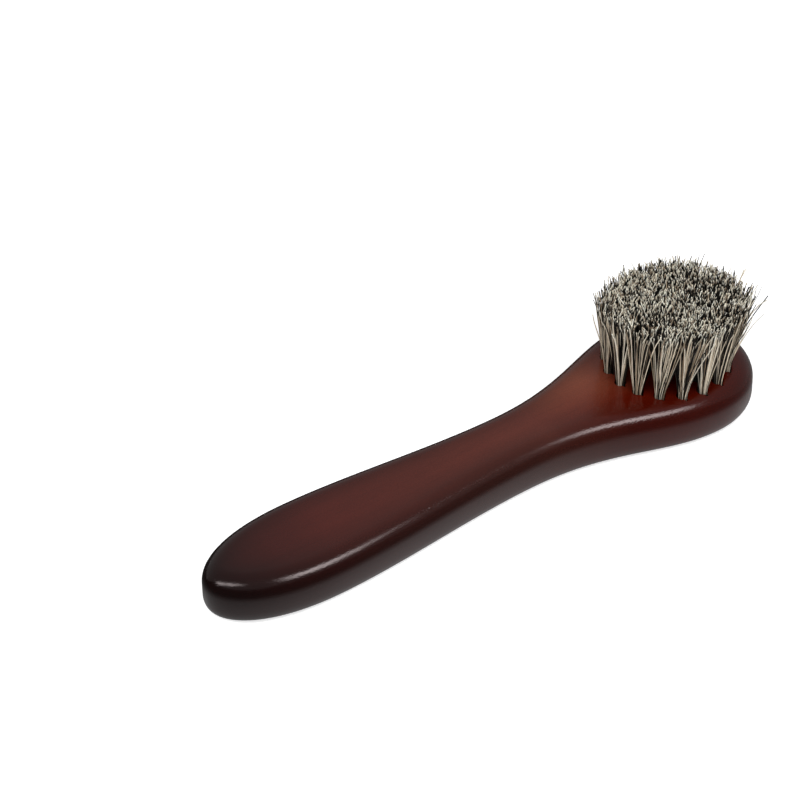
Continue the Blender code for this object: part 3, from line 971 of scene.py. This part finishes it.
# Each is two heights, as shares of the full length, and the values there: of a hair's brightness, which is painted
# shade towards the root, of its brightness inside the brush, which is painted shade below the cut and painted light at
# it, of the strength of the foot's tint, and of its radius in hair widths
FOOT_PAINTED_SHADE, INSIDE_PAINTED_SHADE = (0.0, 0.35, 0.75, 1.0), (0.953, 0.991, 0.05, 1.25)
FOOT_WARMTH, TAPER = (0.8, 0.98, 1.0, 0.0), (0.0, 0.25, 0.36, 0.5)
HAIR_INPUTS = (
    [(name, "NodeSocketInt", None) for name in ("Hairs", "Locks", "Steps", "Seed")]
    + [(name, "NodeSocketVector", None) for name in ("Fan", "Lean")]
    + [(name, "NodeSocketFloat", None) for name in (
        "Length", "Sunk", "Root Radius", "Hair Width", "Gathering", "Lock Bend", "Hair Bend",
        "Tip Curl", "Stray Reach", "Stray Share", "Uneven Cut", "Dark Gap", "Tone Shift", "Lock Tone",
        "Shelter Edge")]
    + [("Material", "NodeSocketMaterial", None)]
)


def disc_places(tree, index, count):
    """Places that fill a round of radius 1 evenly, one for each index."""
    turn = times(tree, index, GOLDEN_ANGLE)
    share = work_out(tree, "DIVIDE", work_out(tree, "ADD", index, 0.5), count)
    reach = work_out(tree, "SQRT", share)
    x = times(tree, work_out(tree, "COSINE", turn), reach)
    y = times(tree, work_out(tree, "SINE", turn), reach)
    return add_node(tree, "ShaderNodeCombineXYZ", {0: x, 1: y}).outputs[0]


def random_number(tree, given, draw, owner):
    """A random number for each owner, which may be a hair or a lock."""
    seed = work_out(tree, "ADD", given["Seed"], float(DRAWS[draw]))
    low, high = SPANS.get(draw, (0.0, 1.0))
    node = add_node(
        tree, "FunctionNodeRandomValue", {2: low, 3: high, "ID": owner, "Seed": seed}, data_type="FLOAT")
    return node.outputs[1]


def rare_number(tree, given, draw, owner):
    """A random number that is small for nearly all owners."""
    power, most = RARE[draw]
    return times(tree, work_out(tree, "POWER", random_number(tree, given, draw, owner), power), most)


def random_sideways(tree, given, draw, owner, size):
    """A random shift in the plane, up to a given size each way."""
    seed = work_out(tree, "ADD", given["Seed"], float(DRAWS[draw]))
    node = add_node(
        tree, "FunctionNodeRandomValue",
        {0: (-1, -1, 0), 1: (1, 1, 0), "ID": owner, "Seed": seed}, data_type="FLOAT_VECTOR")
    return move(tree, "SCALE", node.outputs[0], size)


def hair_lines(tree, given):
    """Straight upright lines, one for each hair, and the number of the hair."""
    line = add_node(tree, "GeometryNodeCurvePrimitiveLine", {"End": (0, 0, 1)})
    points = work_out(tree, "ADD", given["Steps"], 1.0)
    split = add_node(tree, "GeometryNodeResampleCurve", {"Curve": line.outputs[0], "Count": points})
    many = add_node(
        tree, "GeometryNodeDuplicateElements",
        {"Geometry": split.outputs[0], "Amount": given["Hairs"]}, domain="SPLINE")
    return many.outputs[0], many.outputs[1]


def root_place(tree, given, hair):
    """Where each hair stands in its hole, as a place in a round of radius 1."""
    even = disc_places(tree, hair, given["Hairs"])
    return move(tree, "ADD", even, random_sideways(tree, given, "root", hair, ROOT_SCATTER))


def lock_of(tree, given, root, hair):
    """The middle of the lock that a hair belongs to, and the number of the lock."""
    number = add_node(tree, "GeometryNodeInputIndex").outputs[0]
    middles = add_node(
        tree, "GeometryNodePoints",
        {"Count": given["Locks"], "Position": disc_places(tree, number, given["Locks"])})
    fuzzy = move(tree, "ADD", root, random_sideways(tree, given, "lock", hair, LOCK_SCATTER))
    nearest = add_node(
        tree, "GeometryNodeSampleNearest",
        {"Geometry": middles.outputs[0], "Sample Position": fuzzy})
    where = add_node(
        tree, "GeometryNodeSampleIndex",
        {"Geometry": middles.outputs[0], "Index": nearest.outputs[0]}, data_type="FLOAT_VECTOR")
    feed(tree, where.inputs["Value"], add_node(tree, "GeometryNodeInputPosition").outputs[0])
    return where.outputs[0], nearest.outputs[0]


def tone_of(tree, given, hair, lock):
    """How pale a hair is: its own number, moved a little with its lock and its tuft."""
    shared = times(tree, random_number(tree, given, "lock tone", lock), given["Lock Tone"])
    shared = work_out(tree, "ADD", shared, given["Tone Shift"])
    return work_out(tree, "ADD", random_number(tree, given, "tone", hair), shared)


def heights(tree, given, hair, tone):
    """How high each point of a hair is, in metres and as a share of the full length."""
    along = add_node(tree, "GeometryNodeSplineParameter").outputs["Factor"]
    missed = random_number(tree, given, "cut", hair)
    missed = work_out(tree, "ADD", missed, rare_number(tree, given, "long", hair))
    missed = work_out(tree, "SUBTRACT", missed, rare_number(tree, given, "short", hair))
    gap = in_range(tree, tone, *DARK_TONES, given["Dark Gap"], 0.0)
    missed = work_out(tree, "SUBTRACT", missed, gap)
    top = work_out(tree, "MULTIPLY_ADD", missed, given["Uneven Cut"], given["Length"])
    whole = work_out(tree, "ADD", top, given["Sunk"])
    height = work_out(tree, "SUBTRACT", times(tree, along, whole), given["Sunk"])
    return height, work_out(tree, "DIVIDE", height, given["Length"])


def late(tree, up, change):
    """How far a change has come: 0 at the bristle face, and 1 at the full length."""
    return work_out(tree, "POWER", up, LATE[change])


def fanned_place(tree, given, root, lock, up):
    """Where a hair is across its tuft: packed in the hole, gathered in locks, then fanned out."""
    packed = add_node(tree, "ShaderNodeCombineXYZ", {0: given["Root Radius"], 1: given["Root Radius"]})
    radius = blend(tree, late(tree, up, "fan"), packed.outputs[0], given["Fan"], kind="VECTOR")
    loose = in_range(tree, up, 0.0, 1.0, 1.0, TIP_GATHERING)
    gather = times(tree, times(tree, late(tree, up, "gather"), loose), given["Gathering"])
    return move(tree, "MULTIPLY", blend(tree, gather, root, lock, kind="VECTOR"), radius)


def bend(tree, given, draw, owner, size, up):
    """A random shift sideways that grows towards a hair's end."""
    return random_sideways(tree, given, draw, owner, times(tree, size, late(tree, up, draw)))


def hair_path(tree, given, hair, root, tone, lock, lock_number):
    """Where each point of each hair lies, and how far up it is."""
    height, rise = heights(tree, given, hair, tone)
    up = work_out(tree, "MAXIMUM", rise, 0.0)
    stray = work_out(tree, "LESS_THAN", random_number(tree, given, "stray", hair), given["Stray Share"])
    astray = times(tree, stray, random_number(tree, given, "stray size", hair))
    astray = times(tree, astray, late(tree, up, "stray"))
    outwards = add_node(tree, "ShaderNodeCombineXYZ", {0: given["Stray Reach"]}).outputs[0]
    wild_bend = times(tree, given["Hair Bend"], work_out(tree, "MULTIPLY_ADD", stray, STRAY_BEND, 1.0))
    lean = times(tree, random_number(tree, given, "lean", hair), late(tree, up, "lean"))
    shifts = (
        move(tree, "SCALE", outwards, astray),
        bend(tree, given, "hair bend", hair, wild_bend, up),
        bend(tree, given, "lock bend", lock_number, given["Lock Bend"], up),
        bend(tree, given, "tip curl", hair, given["Tip Curl"], up),
        move(tree, "SCALE", given["Lean"], lean),
        add_node(tree, "ShaderNodeCombineXYZ", {2: height}).outputs[0],
    )
    place = fanned_place(tree, given, root, lock, up)
    for shift in shifts:
        place = move(tree, "ADD", place, shift)
    return place, rise


def stored(tree, geometry, name, value):
    """The geometry with a number stored on each of its points."""
    node = add_node(
        tree, "GeometryNodeStoreNamedAttribute", {"Geometry": geometry, "Name": name},
        data_type="FLOAT", domain="POINT")
    feed(tree, node.inputs["Value"], value)
    return node.outputs[0]


def tubes(tree, given, lines, hair, rise):
    """The hairs' lines made round, thinner in the hole than at the cut."""
    size = random_number(tree, given, "width", hair)
    taper = in_range(tree, rise, *TAPER)
    radius = times(tree, times(tree, size, taper), given["Hair Width"])
    profile = add_node(tree, "GeometryNodeCurvePrimitiveCircle", {"Resolution": 4, "Radius": 1.0})
    made = add_node(
        tree, "GeometryNodeCurveToMesh",
        {"Curve": lines, "Profile Curve": profile.outputs[0], "Scale": radius, "Fill Caps": True})
    return add_node(tree, "GeometryNodeSetShadeSmooth", {0: made.outputs[0]}).outputs[0]


def hair_tree():
    """One tuft: hairs that rise packed from their hole, gather in locks and fan out to a level cut."""
    outputs = (("Geometry", "NodeSocketGeometry"),)
    tree, given, result = new_group("horsehair_tuft", "GeometryNodeTree", HAIR_INPUTS, outputs)
    lines, hair = hair_lines(tree, given)
    root = root_place(tree, given, hair)
    lock, lock_number = lock_of(tree, given, root, hair)
    tone = tone_of(tree, given, hair, lock_number)
    place, rise = hair_path(tree, given, hair, root, tone, lock, lock_number)
    # How much of the painted shade inside the brush each hair takes, by where its root stands
    outside = add_node(tree, "ShaderNodeSeparateXYZ", {0: root}).outputs["X"]
    outside = work_out(tree, "SUBTRACT", outside, given["Shelter Edge"])
    shelter = in_range(tree, outside, -SHELTER_FADE, SHELTER_FADE, 1.0, 0.0)
    lines = stored(tree, lines, "shelter", shelter)
    lines = stored(tree, lines, "hair_tone", tone)
    lines = stored(tree, lines, "rise", rise)
    laid = add_node(tree, "GeometryNodeSetPosition", {"Geometry": lines, "Position": place})
    made = tubes(tree, given, laid.outputs[0], hair, rise)
    real = add_node(tree, "GeometryNodeRealizeInstances", {0: made})
    dressed = add_node(
        tree, "GeometryNodeSetMaterial", {"Geometry": real.outputs[0], "Material": given["Material"]})
    feed(tree, result[0], dressed.outputs[0])
    return tree


def set_inputs(modifier, values):
    """Sets a Geometry Nodes modifier's inputs by the identifiers of their sockets."""
    for item in modifier.node_group.interface.items_tree:
        if item.name in values and item.in_out == "INPUT":
            modifier[item.identifier] = values[item.name]


def tuft_mesh(tree, values, name):
    carrier = new_object("carrier", bpy.data.meshes.new("carrier"))
    modifier = carrier.modifiers.new("hair", "NODES")
    modifier.node_group = tree
    set_inputs(modifier, values)
    mesh = plain_mesh(carrier, name)
    bpy.data.objects.remove(carrier)
    return mesh


def worn_share(hair, bearing):
    """How far a tuft is on the side that use has pressed and shortened, from 0 to 1."""
    return max(0.0, math.cos(bearing - hair.wear_bearing)) ** 3


def tuft_lean(hair, ring, bearing):
    """Where use has moved a tuft's ends, along its own axes, of which X points outwards."""
    outwards = Vector((math.cos(bearing), math.sin(bearing), 0.0))
    worn_way = Vector((math.cos(hair.splay_bearing), math.sin(hair.splay_bearing), 0.0))
    before = Vector((worn_way.y, -worn_way.x, 0.0))
    along = outwards.dot(worn_way)
    splay = hair.splay * max(0.0, along) ** 4 - hair.press * worn_share(hair, bearing)
    splay -= hair.pull if ring == "outer" else 0.0
    near = math.exp(-((along - SWEEP_MIDDLE) / SWEEP_REACH) ** 2)
    sweep = hair.sweep * max(0.0, outwards.dot(before)) ** 2 * near
    return Matrix.Rotation(-bearing, 3, "Z") @ (outwards * splay + worn_way * sweep) * WORN[ring]


def tone_shift(hair, bearing):
    """How much paler than the average a tuft is: every second one round the brush."""
    turned = (bearing - hair.tone_bearing + math.pi) % (2 * math.pi) - math.pi
    tufts = len(ring_names("outer", "tuft"))
    return hair.tone_swing * math.cos(turned * tufts / 2)


def tuft_values(hair, ring, bearing):
    """The inputs of one tuft, apart from its seed and its material."""
    values = {
        "Hairs": getattr(hair, f"{ring}_hairs"),
        "Hair Width": hair.outer_width if ring == "outer" else hair.inner_width,
        "Fan": (*getattr(hair, f"{ring}_fan"), 0.0),
        "Lean": tuft_lean(hair, ring, bearing),
        "Length": hair.length - hair.wear * worn_share(hair, bearing) * WORN[ring],
        "Tone Shift": tone_shift(hair, bearing),
        "Stray Reach": hair.stray_reach * STRAYS[ring],
        "Lock Tone": hair.lock_tone * LOCK_TONES[ring],
        "Dark Gap": hair.dark_gap * DARK_GAPS[ring],
        "Shelter Edge": SHELTER_EDGES[ring],
    }
    for name in ("Locks", "Steps", "Sunk", "Root Radius", "Gathering", "Lock Bend", "Hair Bend", "Tip Curl",
                 "Uneven Cut", "Stray Share"):
        values[name] = getattr(hair, name.lower().replace(" ", "_"))
    return values


class DAUBER_OT_tufts(bpy.types.Operator):
    """Make the horsehair tufts, one piece for each hole"""

    bl_idname = "dauber.tufts"
    bl_label = "Horsehair Tufts"

    def execute(self, context):
        hair = context.scene.dauber_hair
        tree = hair_tree()
        material = hair_material(hair)
        axes = hole_axes(context.scene.dauber_block.thickness, hair.outer_lean)
        for index, (ring, number, place, bearing) in enumerate(axes):
            values = tuft_values(hair, ring, bearing)
            values["Seed"] = hair.seed + SEED_STEP * index
            values["Material"] = material
            mesh = tuft_mesh(tree, values, f"{ring}_hair_{number}")
            mesh.transform(place @ Matrix.Rotation(bearing, 4, "Z"))
            piece = new_object(mesh.name, mesh)
            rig.ride(piece, "root")
            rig.replaces(piece, f"{ring}_tuft_{number}")
            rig.slot(piece, "hair")
        return {"FINISHED"}


# Anchors


def wire_material(speckles):
    """Flat steel wire, drawn along its length."""
    material, tree, shader = new_material("flat_steel_wire")
    group = speckled(tree, speckles, object_place(tree), cloud_size=2.0 * MM, speckle_size=0.1 * MM)
    shade = from_noise(tree, group.outputs["Clouds"], 0.42, 0.6)
    steel = add_node(tree, "ShaderNodeCombineXYZ", {0: shade, 1: shade, 2: shade}).outputs[0]
    rough = from_noise(tree, group.outputs["Speckles"], 0.3, 0.46)
    set_shader(tree, shader, base_color=steel, roughness=rough, metallic=1.0)
    return material


class DAUBER_OT_anchors(bpy.types.Operator):
    """Give the flat wire anchors their steel"""

    bl_idname = "dauber.anchors"
    bl_label = "Wire Anchors"

    def execute(self, context):
        material = wire_material(bpy.data.node_groups["speckles"])
        for ring in RINGS:
            for name in ring_names(ring, "anchor"):
                for slot in frame["nodes"][name].material_slots:
                    slot.material = material
        return {"FINISHED"}


# Stage


WHITE = (1.0, 1.0, 1.0, 1.0)
SENSOR_WIDTH = 36.0             # in millimetres
FLAG_SPACING = 6 * MM           # between the cloth's rows along the outline
# Each is two distances from the middle in metres, and the values there: of the paper's brightness, and of the
# share of it that shows in reflections
PAPER_GLOW, PAPER_MIRRORED = (0.08, 0.33, 0.58, 0.85), (0.36, 0.9, 1.0, 0.0)
# The cloth's glow is a painted reflection in the lacquer: the lit floor at the object's foot and before the head's
# tip, the floor's shadow under the object, and a dark room further off
FLAG_STRIPS, FLAG_GROWTH = 16, 1.5   # strips outside the outline, each this much further than the last
FLAG_TURN = 1.5                 # how suddenly the cloth ends where the outline turns from the camera
FLAG_DARK = 0.03                # brightness of the cloth where it is dark
FLAG_TIP = 0.25                 # and how much brighter it is in front of the head's tip


def turned_axes(first, second, angle):
    """Two axes at right angles, turned so that the first one moves towards the second."""
    return (first * math.cos(angle) + second * math.sin(angle),
            second * math.cos(angle) - first * math.sin(angle))


def camera_matrix(stage):
    """The camera's place and turn, from the photograph's viewing angle."""
    azimuth, elevation = stage.azimuth, stage.elevation
    back = Vector((math.sin(azimuth) * math.cos(elevation), -math.cos(azimuth) * math.cos(elevation),
                   math.sin(elevation)))
    place = Vector(stage.aim) + back * stage.distance
    ahead = -back
    right = ahead.cross(Vector((0, 0, 1))).normalized()
    up = right.cross(ahead)
    right, up = turned_axes(right, up, stage.roll)
    widths = SENSOR_WIDTH / stage.lens
    pan = math.atan(stage.aim_shown[0] * widths)
    ahead, right = turned_axes(ahead, right, -pan)
    tilt = math.atan(stage.aim_shown[1] * widths * math.cos(pan))
    ahead, up = turned_axes(ahead, up, -tilt)
    turn = Matrix((right, up, -ahead)).transposed().to_4x4()
    return Matrix.Translation(place) @ turn


def add_camera(stage):
    data = bpy.data.cameras.new("camera")
    data.lens = stage.lens
    data.sensor_width = SENSOR_WIDTH
    data.clip_start = 0.05
    data.clip_end = 30.0
    camera = bpy.data.objects.new("camera", data)
    camera.matrix_world = camera_matrix(stage)
    bpy.context.scene.collection.objects.link(camera)
    bpy.context.scene.camera = camera


# The two lamps that the lacquer mirrors, on the face's front edge and on the handle's end, and a soft one
SOFTBOXES = {
    "front_softbox": {
        "place": (0.077, -0.27, 0.39), "along": (1, 0, 0), "size": (0.204, 0.128), "brightness": 9.2},
    "left_softbox": {
        "place": (-0.408, -0.038, 0.40), "along": (0.478, -0.686, 0.445), "size": (0.42, 0.09),
        "brightness": 7.0},
    "fill": {
        "place": (-0.45, -0.55, 0.65), "along": (1, 0, 0), "size": (0.8, 0.8), "brightness": 2.13,
        "mirrored": False},
}
LAMPS_AIM = (0.0, 0.0, 0.015)


def add_softbox(name, place, along, size, brightness, mirrored=True):
    """A lamp that faces the object, with its long side as near as can be to a given direction."""
    data = bpy.data.lights.new(name, "AREA")
    data.shape = "RECTANGLE"
    data.size, data.size_y = size
    data.energy = brightness * math.pi * size[0] * size[1]
    lamp = bpy.data.objects.new(name, data)
    back = (Vector(place) - Vector(LAMPS_AIM)).normalized()
    up = back.cross(Vector(along)).normalized()
    turn = Matrix((up.cross(back), up, back)).transposed().to_4x4()
    lamp.matrix_world = Matrix.Translation(place) @ turn
    lamp.visible_glossy = mirrored
    bpy.context.scene.collection.objects.link(lamp)


def floor_material():
    """White paper that shows white in the view and in reflections, and keeps the object's shadow."""
    material, tree, shader = new_material("white_paper")
    path = add_node(tree, "ShaderNodeLightPath").outputs
    mirrored = work_out(tree, "MAXIMUM", path["Is Glossy Ray"], path["Is Transmission Ray"])
    place = object_place(tree)
    away = add_node(tree, "ShaderNodeVectorMath", {0: place}, operation="LENGTH").outputs["Value"]
    near = in_range(tree, away, *PAPER_GLOW)
    far = in_range(tree, away, *PAPER_MIRRORED, smooth=True)
    seen = work_out(tree, "MAXIMUM", path["Is Camera Ray"], times(tree, mirrored, far))
    set_shader(
        tree, shader, base_color=(0.9, 0.9, 0.9, 1.0), roughness=0.9, specular_ior_level=0.0,
        emission_color=WHITE, emission_strength=times(tree, seen, near))
    return material


def add_floor(stage):
    mesh = bpy.data.meshes.new("floor")
    half = stage.floor_size / 2
    corners = [(x * half, y * half, stage.floor_height) for x, y in ((-1, -1), (1, -1), (1, 1), (-1, 1))]
    mesh.from_pydata(corners, [], [(0, 1, 2, 3)])
    mesh.materials.append(floor_material())
    floor = new_object("floor", mesh)
    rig.stage(floor)


def facing_shares(stage, facing):
    """How far a piece of the outline faces the camera, and the head's tip, from 0 to 1."""
    towards = Vector((math.sin(stage.azimuth), -math.cos(stage.azimuth)))
    side = max(0.0, facing.x) ** 2
    front = min(1.0, max(0.0, 0.5 + FLAG_TURN * facing.dot(towards))) * (1 - side)
    return front, side


def painted_reflection_glow(stage, facing, reach):
    """How bright the cloth is, as a painted reflection: the floor's shadow dark under the object, the lit floor pale
    at its foot, and a dark room away from it and behind.
    """
    front, side = facing_shares(stage, facing)
    # Painted shadow of the object on the floor, as the lacquer mirrors it
    contact = min(1.0, max(0.0, 0.5 + reach / stage.flag_contact))
    foot = stage.flag_foot * (1 - stage.flag_end * max(0.0, -facing.x))
    glow = foot * math.exp(-max(0.0, reach) / stage.flag_fade) + stage.flag_rest
    return min(1.0, FLAG_DARK + contact * (front * glow + FLAG_TIP * side))


def flag_row(stage, place, facing):
    """The cloth's points out from one place on the outline, each with its brightness. The last one is up."""
    reaches = [stage.flag_step * strip for strip in (-3, -2, -1, 0)]
    reaches += [stage.flag_step * FLAG_GROWTH**strip for strip in range(FLAG_STRIPS)]
    row = []
    for reach in reaches:
        spot = place + facing * reach
        row.append((Vector((spot.x, spot.y, stage.flag_clearance)), painted_reflection_glow(stage, facing, reach)))
    foot, glow = row[-1]
    top = foot + Vector((0.0, 0.0, stage.flag_height * facing_shares(stage, facing)[0]))
    return row + [(top, glow)]


def flag_mesh(stage, block):
    """The cloth as a sheet of strips all round the outline, with its brightness on every point."""
    side = outline_points(block, FLAG_SPACING)
    rows = [flag_row(stage, place, outwards) for place, outwards in side]
    for place, outwards in reversed(side[1:-1]):
        rows.append(flag_row(stage, Vector((place.x, -place.y)), Vector((outwards.x, -outwards.y))))
    size = len(rows[0])
    faces = []
    for index in range(len(rows)):
        first = index * size
        after = (index + 1) % len(rows) * size
        faces += [(first + i, first + i + 1, after + i + 1, after + i) for i in range(size - 1)]
    points = [point for row in rows for point in row]
    mesh = bpy.data.meshes.new("flag")
    mesh.from_pydata([place for place, _ in points], [], faces)
    glows = [glow for _, glow in points]
    mesh.attributes.new("glow", "FLOAT", "POINT").data.foreach_set("value", glows)
    return mesh


def flag_material():
    """Black cloth that glows by the number on its points, as a painted reflection of the floor, its shadow and the
    room.
    """
    material, tree, shader = new_material("painted_reflection_cloth")
    set_shader(
        tree, shader, base_color=(0.01, 0.01, 0.01, 1.0), specular_ior_level=0.0, emission_color=WHITE,
        emission_strength=stored_number(tree, "glow"))
    return material


def add_flag(stage, block):
    """A cloth on the table round the object that shows only in its gloss, as a painted reflection of the floor and the
    object's shadow on it, and rises in front as a painted dark room.
    """
    mesh = flag_mesh(stage, block)
    mesh.materials.append(flag_material())
    flag = new_object("flag", mesh)
    for kind in ("camera", "diffuse", "shadow", "transmission", "volume_scatter"):
        setattr(flag, f"visible_{kind}", False)
    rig.stage(flag)


def light_room(strength):
    world = bpy.data.worlds.new("studio")
    world.use_nodes = True
    background = world.node_tree.nodes["Background"]
    background.inputs["Color"].default_value = WHITE
    background.inputs["Strength"].default_value = strength
    bpy.context.scene.world = world


class DAUBER_OT_stage(bpy.types.Operator):
    """Set up the floor, the lamps and the camera"""

    bl_idname = "dauber.stage"
    bl_label = "Stage"

    def execute(self, context):
        stage = context.scene.dauber_stage
        context.scene.view_settings.view_transform = "Standard"
        add_floor(stage)
        add_flag(stage, context.scene.dauber_block)
        light_room(stage.room_light)
        for name, lamp in SOFTBOXES.items():
            add_softbox(name, **lamp)
        add_camera(stage)
        return {"FINISHED"}


class DAUBER_PT_panel(bpy.types.Panel):
    """Lists the pieces of the dauber in the order they are made"""

    bl_idname = "DAUBER_PT_panel"
    bl_label = "Polish Dauber"
    bl_space_type = "VIEW_3D"
    bl_region_type = "UI"
    bl_category = "Dauber"

    def draw(self, context):
        for operator, settings in STEPS:
            box = self.layout.box()
            box.operator(operator.bl_idname)
            group = getattr(context.scene, settings, None) if settings else None
            for name in (group.bl_rna.properties.keys() if group else ()):
                if name not in ("rna_type", "name"):
                    box.prop(group, name)


SETTINGS = {
    "dauber_block": BlockSettings,
    "dauber_finish": FinishSettings,
    "dauber_hair": HairSettings,
    "dauber_stage": StageSettings,
}
STEPS = (
    (DAUBER_OT_block, "dauber_block"),
    (DAUBER_OT_tufts, "dauber_hair"),
    (DAUBER_OT_anchors, None),
    (DAUBER_OT_stage, "dauber_stage"),
)


def register():
    for name, group in SETTINGS.items():
        bpy.utils.register_class(group)
        setattr(bpy.types.Scene, name, bpy.props.PointerProperty(type=group))
    for operator, _ in STEPS:
        bpy.utils.register_class(operator)
    bpy.utils.register_class(DAUBER_PT_panel)


def unregister():
    bpy.utils.unregister_class(DAUBER_PT_panel)
    for operator, _ in reversed(STEPS):
        bpy.utils.unregister_class(operator)
    for name, group in SETTINGS.items():
        delattr(bpy.types.Scene, name)
        bpy.utils.unregister_class(group)


def plain_box(box):
    return [[float(number) for number in corner] for corner in box]


def main():
    register()
    cube = bpy.data.objects.get("Cube")
    if cube:
        bpy.data.objects.remove(cube)
    bpy.ops.dauber.block()
    bpy.ops.dauber.tufts()
    bpy.ops.dauber.anchors()
    bpy.ops.dauber.stage()
    with open("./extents.json", "w") as file:
        json.dump({"cad": plain_box(CAD_BOX), "visual": plain_box(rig.bounds())}, file)


if __name__ == "__main__":
    main()
